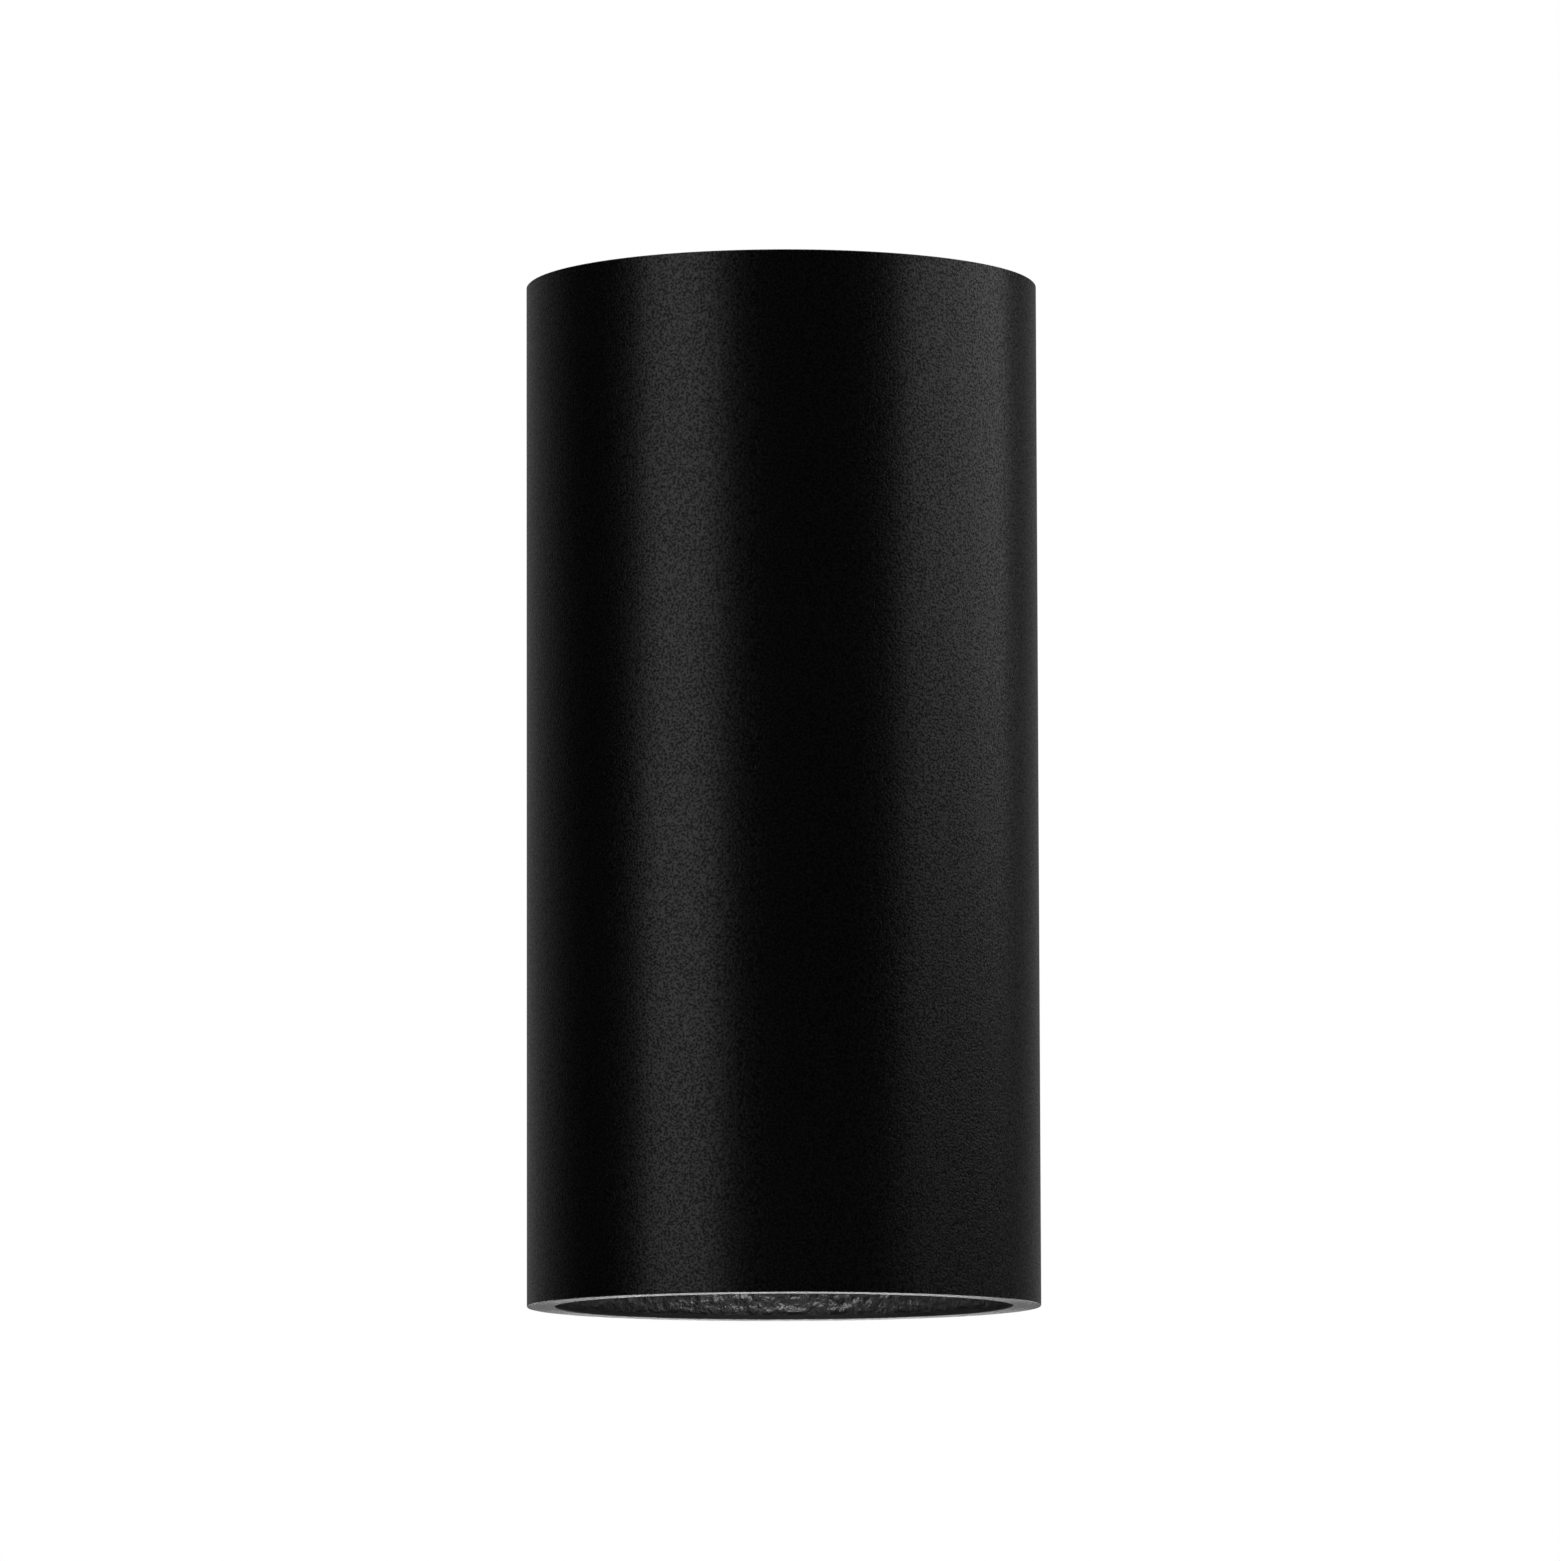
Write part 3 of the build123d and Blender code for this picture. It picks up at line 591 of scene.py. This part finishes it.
def smooth(piece, angle=38):
    """Shades a piece smooth over edges that turn by less than the angle, in degrees."""
    pick(piece)
    bpy.ops.object.shade_smooth_by_angle(angle=math.radians(angle))


for material in TUBE_FINISHES:
    tube.data.materials.append(material)
for face in tube.data.polygons:
    face.material_index = TUBE_FINISHES.index(tube_finish(face.center))
smooth(tube)
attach(tube, "housing")
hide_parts("tube_housing")
print("tube finishes:", [m.name for m in tube.data.materials])

# %% [markdown]
# ## The stepped glare rings
# Between the lamp and the tube's wall sits a black moulded ring with three treads. Real ones have
# fine grooves on their treads, which swallow stray light. Cutting them one by one would be slow,
# so they are part of the outline: each tread is a row of small teeth. The lip's corners are broken
# by a little and the ring is turned as before.

# %% Glare rings
RING_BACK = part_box("upper_glare_ring")[0].z
RING_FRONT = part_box("upper_glare_ring")[1].z
RING_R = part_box("upper_glare_ring")[1].x
RING_LIP_R = RING_R - 0.0025
APERTURE_R = 0.02575
THROAT = 0.003
STEPS = 3
TEETH = 7
TOOTH_DEEP = 0.00025
TREAD_EDGE = 0.0006
OUTER_BREAK = 0.0004
INNER_BREAK = 0.0003


def ring_outline(out):
    """The ring's corners, its treads going in from the lip to the aperture."""
    tread = (RING_LIP_R - APERTURE_R) / STEPS
    riser = (RING_FRONT - RING_BACK - THROAT) / STEPS
    pitch = (tread - TREAD_EDGE) / TEETH
    corners = [
        (RING_R, RING_BACK), (RING_R, RING_FRONT - OUTER_BREAK), (RING_R - OUTER_BREAK, RING_FRONT),
        (RING_LIP_R + INNER_BREAK, RING_FRONT), (RING_LIP_R, RING_FRONT - INNER_BREAK),
    ]
    for step in range(STEPS):
        level = RING_FRONT - (step + 1) * riser
        edge = RING_LIP_R - step * tread
        for tooth in range(TEETH):
            corners += [(edge - tooth * pitch, level - TOOTH_DEEP), (edge - (tooth + 0.5) * pitch, level)]
        corners.append((edge - tread, level))
    corners.append((APERTURE_R, RING_BACK))
    return [(radius, out * height) for radius, height in corners]


for side, out in SIDES.items():
    ring = turned(f"{side}_stepped_ring", ring_outline(out), segments=192, closed=True)
    ring.data.materials.append(ring_black)
    smooth(ring, angle=30)
    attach(ring, f"{side}_ring")
    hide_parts(f"{side}_glare_ring")
    report(ring)

# %% [markdown]
# ## The lamps
# Each lamp is a white body that flares from its base to its head. Its outline runs from the
# middle of the base, up the flare, over a collar and a fine groove, to the seat of the lens.
# Cones and cylinders could be joined instead, but one turned outline leaves clean rings of faces.

# %% Lamp shell
LAMP_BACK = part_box("upper_lamp_body")[0].z
LAMP_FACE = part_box("upper_lamp_body")[1].z
HEAD_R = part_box("upper_lamp_body")[1].x
BASE_R = 0.013
FLARE_START = LAMP_BACK + 0.008
FLARE_END = FLARE_START + 0.023
FLARE_R = HEAD_R - 0.0022
COLLAR = 0.001
BASE_BREAK = 0.0006
BASE_STEP = 0.0002
GROOVE = 0.0004
BASE_MIDDLE_R = 0.006
SEAT_MIDDLE_R = 0.01


def lamp_outline(out):
    """The lamp's corners from the middle of its base to the middle of its lens seat."""
    corners = [
        (BASE_MIDDLE_R, LAMP_BACK), (BASE_R - BASE_BREAK, LAMP_BACK), (BASE_R, LAMP_BACK + BASE_BREAK),
        (BASE_R, FLARE_START), (BASE_R + BASE_STEP, FLARE_START + BASE_STEP),
        (FLARE_R, FLARE_END - COLLAR), (HEAD_R, FLARE_END), (HEAD_R, LAMP_FACE - 4.5 * GROOVE),
        (HEAD_R - GROOVE, LAMP_FACE - 3 * GROOVE), (HEAD_R - GROOVE, LAMP_FACE - GROOVE),
        (HEAD_R - 2 * GROOVE, LAMP_FACE), (SEAT_MIDDLE_R, LAMP_FACE),
    ]
    return [(radius, out * height) for radius, height in corners]


shells = {}
for side, out in SIDES.items():
    shells[side] = turned(f"{side}_lamp_shell", lamp_outline(out), segments=128)
    report(shells[side])

# %% [markdown]
# Cooling ribs run down the flare. One is modelled as a thin blade: a plane whose corners are
# moved onto the flare, and which is then extruded by its thickness. The others are copies of it,
# each with its own mesh, turned round the axis and joined to the shell.

# %% Cooling ribs
RIBS = 30
RIB_THICK = 0.0008
RIB_INSET = 0.0003
ROOT_DEEP = 0.002
ROOT_DEEPER = 0.001
RIB_LOW = FLARE_START + 0.0004
RIB_HIGH = FLARE_END - 0.0002


def rib(out):
    """One cooling rib, a thin blade standing on the flare, deeper in the shell at the head."""
    deselect()
    middle = out * (RIB_LOW + RIB_HIGH) / 2
    bpy.ops.mesh.primitive_plane_add(size=1, location=(BASE_R, AXIS_Y - RIB_THICK / 2, middle),
                                     rotation=(math.pi / 2, 0, 0))
    blade = bpy.context.object
    blade.scale = (RIB_THICK, RIB_HIGH - RIB_LOW, 1)
    settle(blade, "rib")
    for vertex in blade.data.vertices:
        share = (abs(vertex.co.z) - RIB_LOW) / (RIB_HIGH - RIB_LOW)
        flare_r = BASE_R + share * (HEAD_R - BASE_R)
        is_outer = vertex.co.x > BASE_R
        vertex.co.x = flare_r - (RIB_INSET if is_outer else ROOT_DEEP + ROOT_DEEPER * share)
    edit(blade, "FACE")
    bpy.ops.mesh.extrude_region_move(TRANSFORM_OT_translate={"value": (0, RIB_THICK, 0)})
    bpy.ops.mesh.select_all(action="SELECT")
    bpy.ops.mesh.normals_make_consistent(inside=False)
    bpy.ops.object.mode_set(mode="OBJECT")
    return blade


def turned_copy(piece, angle):
    """A copy of a piece with its own mesh, turned about the tube's axis."""
    twin = piece.copy()
    twin.data = piece.data.copy()
    bpy.context.scene.collection.objects.link(twin)
    edit(twin, "FACE")
    bpy.ops.transform.rotate(value=angle, orient_axis="Z", center_override=(0, AXIS_Y, 0))
    bpy.ops.object.mode_set(mode="OBJECT")
    return twin


for side, out in SIDES.items():
    first = rib(out)
    others = [turned_copy(first, math.tau * number / RIBS) for number in range(1, RIBS)]
    body = shells[side]
    pick(body, first, *others)
    bpy.ops.object.join()
    body.data.materials.append(lamp_white)
    smooth(body)
    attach(body, f"{side}_lamp")
    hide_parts(f"{side}_lamp_body")
    report(body)

# %% [markdown]
# The lens is turned like the rest: a flat border, then rings that rise and fall by half a
# millimetre, as on a pressed prism lens. A bump could draw the rings, but turned ones also catch
# the light from the side.

# %% Lenses
LENS_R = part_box("upper_lamp_lens")[1].x
LENS_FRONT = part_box("upper_lamp_lens")[1].z
LENS_FOOT = 0.0002
LENS_EDGE = 0.0004
BORDER_BREAK = 0.0003
BORDER = 0.003
BORDER_FRONT = LENS_FRONT - 0.0001
PRISM_R = LENS_R - 0.0034
PRISMS = 9
PRISM_WIDE = 0.0012
PRISM_LOW = LENS_FRONT - 0.0007
PRISM_HIGH = LENS_FRONT - 0.0002
FLAT_MIDDLE = 0.6


def lens_outline(out):
    """The lens from its rim inwards, with a flat middle as wide as a share of one prism ring."""
    corners = [
        (LENS_R - LENS_FOOT, LAMP_FACE), (LENS_R, LAMP_FACE + LENS_EDGE), (LENS_R, LENS_FRONT - LENS_EDGE),
        (LENS_R - BORDER_BREAK, BORDER_FRONT), (LENS_R - BORDER, BORDER_FRONT),
    ]
    pitch = PRISM_R / (PRISMS + FLAT_MIDDLE)
    for prism in range(PRISMS):
        radius = PRISM_R - prism * pitch
        corners += [(radius, PRISM_LOW), (radius - PRISM_WIDE, PRISM_HIGH)]
    return [(radius, out * height) for radius, height in corners]


for side, out in SIDES.items():
    lens = turned(f"{side}_frosted_lens", lens_outline(out), segments=128)
    lens.data.materials.append(lens_frost)
    smooth(lens, angle=20)
    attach(lens, f"{side}_lamp")
    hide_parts(f"{side}_lamp_lens")
    report(lens)

# %% [markdown]
# ## Cast box, strap and other sheet and moulded parts
# The exact parts have knife edges, which no real casting or pressing has. Modelling them anew
# would only risk their fit. A copy of each is merged into one skin, its flat triangles are joined
# again, and a bevel breaks its edges: a wider one for the casting, a hair for sheet steel.

# %% Softened copies
def copied(node, name):
    """A copy of a part's mesh, merged into one skin, as a new piece."""
    piece = nodes[node].copy()
    piece.data = nodes[node].data.copy()
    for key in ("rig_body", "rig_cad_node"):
        del piece[key]
    piece.parent = None
    bpy.context.scene.collection.objects.link(piece)
    piece.hide_render = piece.hide_viewport = False
    piece.data.materials.clear()
    settle(piece, name)
    edit(piece, "VERT")
    bpy.ops.mesh.remove_doubles(threshold=2e-6)
    bpy.ops.object.mode_set(mode="OBJECT")
    return piece


def soften(node, name, body, material, width, segments=2):
    """Puts a copy in a part's place, with its flats joined and its edges broken, in its finish."""
    piece = copied(node, name)
    edit(piece, "VERT")
    bpy.ops.mesh.dissolve_limited(angle_limit=math.radians(0.5))
    bpy.ops.object.mode_set(mode="OBJECT")
    piece.data.materials.append(material)
    modify(piece, "BEVEL", width=width, segments=segments, limit_method="ANGLE", angle_limit=math.radians(30))
    smooth(piece)
    modify(piece, "WEIGHTED_NORMAL", keep_sharp=True)
    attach(piece, body)
    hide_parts(node)
    report(piece)


soften("back_box", "box_casting", "housing", coat_box, width=0.0005, segments=3)
soften("wall_bracket", "wall_strap", "housing", zinc, width=0.00015)
soften("lamp_bracket", "lamp_carrier", "housing", zinc, width=0.00015)
soften("terminal_block", "push_in_block", "housing", moulded_white, width=0.00025)
soften("saddle_block", "inner_saddle", "housing", cast_metal, width=0.0003)
for side in SIDES:
    soften(f"{side}_lampholder", f"{side}_holder_body", "housing", ceramic, width=0.0003)

# %% [markdown]
# ## Screws of the box
# Two black screws hold the box on the strap's tabs, one on top and one below. Their heads are low
# and round-edged, so head and shank are turned. The cross recess is easiest cut as a punch would
# press it: two crossed bars that taper to their tip are taken out of the head with a boolean.

# %% Box screws
screw_low, screw_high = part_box("fixing_screws")
SCREW_Y = (screw_low.y + screw_high.y) / 2
SCREW_TOP = abs(screw_low.z)
SCREW_HEAD_R = (screw_high.x - screw_low.x) / 2
SEAT_INSET = 0.0002
SEAT_HEIGHT = 0.0004
CROWN = ((0.0002, 0.0008), (0.0009, 0.0002), (0.0018, 0.0))
BOX_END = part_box("back_box")[1].z
SHANK_R = 0.002
SHANK_END = BOX_END - 0.0117
TIP_INSET = 0.0001
TIP_LONG = 0.0007
BAR = (0.0042, 0.0009, 0.003)
BAR_TAPER = 0.35


def cross_cutter(height):
    """The two crossed bars of a driver's tip, narrower on the side of the screw."""
    bars = []
    for turn in (0, math.pi / 2):
        deselect()
        bpy.ops.mesh.primitive_cube_add(size=1, location=(0, SCREW_Y, height))
        bar = bpy.context.object
        bar.scale = BAR
        bar.rotation_euler = (0, 0, turn)
        bars.append(settle(bar, "driver bar"))
        for vertex in bar.data.vertices:
            if abs(vertex.co.z) < abs(height):
                vertex.co.x *= BAR_TAPER
                vertex.co.y = SCREW_Y + (vertex.co.y - SCREW_Y) * BAR_TAPER
    return bars


def head_outline(out):
    """The head's corners from its seat on the box to its crown, which goes in and comes up in steps."""
    corners = [(SCREW_HEAD_R - SEAT_INSET, BOX_END), (SCREW_HEAD_R, BOX_END + SEAT_HEIGHT)]
    corners += [(SCREW_HEAD_R - inset, SCREW_TOP - below_top) for inset, below_top in CROWN]
    return [(radius, out * height) for radius, height in corners]


def shank_outline(out):
    """The shank's corners from its narrowed tip to the head."""
    corners = [(SHANK_R - TIP_INSET, SHANK_END), (SHANK_R, SHANK_END + TIP_LONG), (SHANK_R, BOX_END)]
    return [(radius, out * height) for radius, height in corners]


for side, out in SIDES.items():
    head = turned(f"{side}_box_screw_head", head_outline(out), segments=64, y=SCREW_Y)
    for bar in cross_cutter(out * SCREW_TOP):
        modify(head, "BOOLEAN", object=bar, solver="EXACT")
        bpy.data.objects.remove(bar)
    screw = turned(f"{side}_box_screw", shank_outline(out), segments=32, y=SCREW_Y)
    pick(screw, head)
    bpy.ops.object.join()
    screw.data.materials.append(screw_black)
    smooth(screw)
    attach(screw, "housing")
    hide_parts("fixing_screws")
    report(screw)

# %% [markdown]
# ## Leads
# The four insulated leads come as bars with eight flats. A curve with a round bevel could follow
# the same route, but the bars have it already. So a copy of each, its triangles joined into
# quads, is rounded by a subdivision surface.

# %% Round leads
for lamp in SIDES:
    for pole, colour, slot in (("live", brown, "lead_brown"), ("neutral", blue, "lead_blue")):
        wire = copied(f"{lamp}_{pole}_lead", f"{lamp}_{pole}_wire")
        edit(wire, "FACE")
        bpy.ops.mesh.tris_convert_to_quads(face_threshold=math.radians(40), shape_threshold=math.radians(180))
        bpy.ops.object.mode_set(mode="OBJECT")
        modify(wire, "SUBSURF", levels=2, render_levels=2)
        wire.data.materials.append(colour)
        smooth(wire, angle=68)
        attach(wire, "housing")
        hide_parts(f"{lamp}_{pole}_lead")
        report(wire)

# %% [markdown]
# ## Finishes for the parts that stay
# Nuts, stud, pins, contacts, springs and small screws are right as they come, and too small or
# too hidden for a broken edge to show. Each gets its finish in place of the plain one it was
# loaded with.

# %% Small parts
KEPT = {
    "threaded_nipple": zinc, "box_nut": zinc, "bracket_nut": zinc, "earth_clamp": zinc,
    "terminal_bars": brass, "terminal_springs": spring, "block_screw": screw_zinc, "earth_screw": screw_zinc,
}
for side in SIDES:
    KEPT.update({f"{side}_holder_contacts": brass, f"{side}_holder_screws": screw_zinc,
                 f"{side}_lamp_pins": pin_metal, f"{side}_ring_clips": spring})
for node, material in KEPT.items():
    nodes[node].data.materials.clear()
    nodes[node].data.materials.append(material)
    smooth(nodes[node], angle=30)
print("finished in place:", len(KEPT))

# %% [markdown]
# ## Light
# A nearly black, softly glossy tube shows little but the studio round it. One soft box stands at
# the left front and draws the broad upright band. A second hangs high at the right and glows on
# the upper right side. Everything between them is dark. A third stands low in front and shines up
# into the lower mouth, onto its far wall.

# %% Soft boxes
def soft_box(name, azimuth, distance, height, width, tall, power, aim_height=None):
    """An area light that faces the tube. Azimuth 0 is the camera's side, 90 the right."""
    data = bpy.data.lights.new(name, "AREA")
    data.shape = "RECTANGLE"
    data.size, data.size_y = width, tall
    data.energy = power
    lamp = bpy.data.objects.new(name, data)
    bpy.context.scene.collection.objects.link(lamp)
    turn = math.radians(azimuth)
    lamp.location = (distance * math.sin(turn), AXIS_Y - distance * math.cos(turn), height)
    aim = Vector((0, AXIS_Y, height if aim_height is None else aim_height)) - lamp.location
    lamp.rotation_euler = aim.to_track_quat("-Z", "Y").to_euler()
    print(name, [round(v, 3) for v in lamp.location], "power", power)


soft_box("left_box", azimuth=-46, distance=1.6, height=0.34, width=1.0, tall=0.9, power=2.92)
soft_box("right_box", azimuth=88, distance=1.5, height=0.76, width=1.85, tall=1.2, power=7.3)
soft_box("low_box", azimuth=2, distance=1.0, height=-1.15, width=1.0, tall=0.7, power=8.9,
         aim_height=-TUBE_END)

# %% [markdown]
# ## Floor
# The pale floor is where a floor would be, well below a light on a wall. To the camera it fades into plain
# white, because a floor that ends would draw a line behind the light. What the coat mirrors is set apart from
# that: in its mirror image the floor is painted a dark grey, a painted shade that only reflections show, most
# of all far away.

# %% Floor
FLOOR_Z = -1.7
deselect()
bpy.ops.mesh.primitive_plane_add(size=9, location=(0, 0, FLOOR_Z))
floor = settle(bpy.context.object, "floor")
floor_paint = finish("floor_paint", (grey(0.86), grey(0.9)), (0.6, 0.7), marks=60.0, depth=0.0002,
                     patches=2.0)
floor.data.materials.append(floor_paint)

paint = floor_paint.node_tree
paint_shader = shader_of(floor_paint)
rays = add_node(paint, "LightPath")
far_off = add_node(paint, "VectorMath", {0: object_point(paint)}, operation="LENGTH").outputs["Value"]

plain_colour = paint_shader.inputs["Base Color"].links[0].from_socket
# Painted shade in reflections: for glossy rays the floor's colour is mixed towards a dark grey, a little near
# the light and fully far away.
darker_far_off = ramp(paint, far_off, low=2.3, high=3.4, start=0.78)
mirrored_floor = combined(paint, "MULTIPLY", darker_far_off, rays.outputs["Is Glossy Ray"])
tones = {"A": plain_colour, "B": (*grey(0.12), 1)}
dimmed = add_node(paint, "Mix", {"Factor": mirrored_floor, **tones}, data_type="RGBA")
fill_in(paint_shader, {"Base Color": dimmed.outputs["Result"]})

fade = ramp(paint, far_off, low=1.9, high=4.2, interpolation_type="SMOOTHSTEP")
faded = combined(paint, "MULTIPLY", fade, rays.outputs["Is Camera Ray"])
white = add_node(paint, "Emission").outputs["Emission"]
either = add_node(paint, "MixShader", {"Fac": faded, 1: paint_shader.outputs["BSDF"], 2: white})
fill_in(paint.nodes["Material Output"], {"Surface": either.outputs["Shader"]})
print("floor at", FLOOR_Z)

# %% [markdown]
# ## Background
# The camera sees plain white. Coats and metal mirror a dark room instead, with three glows. One
# is faint and behind the tube, for its edges. One is low behind it, for the lower rim. One is
# overhead, for the upper rim and all that faces up. Lamps would do it too, but they would also
# light the matt parts. The rest of the light, on all that is matt, is an even fill.

# %% Background
EVEN_FILL = 0.9

world = bpy.data.worlds.new("studio")
bpy.context.scene.world = world
world.use_nodes = True
room = world.node_tree
rays = add_node(room, "LightPath")
towards = add_node(room, "SeparateXYZ", {"Vector": add_node(room, "TexCoord").outputs["Generated"]})

behind = ramp(room, towards.outputs["Y"], low=0.3, high=1.0, start=0.002, end=0.15)
below = ramp(room, towards.outputs["Z"], low=-0.19, high=-0.32, end=5.0)
far_side = ramp(room, towards.outputs["Y"], low=0.36, high=0.74)
overhead = ramp(room, towards.outputs["Z"], low=0.55, high=0.85, end=0.9)
glows = combined(room, "ADD", behind, combined(room, "MULTIPLY", below, far_side))
glows = combined(room, "ADD", glows, overhead)

is_mirrored = combined(room, "ADD", rays.outputs["Is Glossy Ray"], rays.outputs["Is Transmission Ray"],
                       use_clamp=True)
unseen = add_node(room, "Mix", {"Factor": is_mirrored, "A": EVEN_FILL, "B": glows}).outputs["Result"]
seen = add_node(room, "Mix", {"Factor": rays.outputs["Is Camera Ray"], "A": unseen, "B": 1.0})
fill_in(room.nodes["Background"], {"Color": (1, 1, 1, 1), "Strength": seen.outputs["Result"]})
bpy.context.scene.view_settings.view_transform = "Standard"
print("background set, with a fill of", EVEN_FILL)
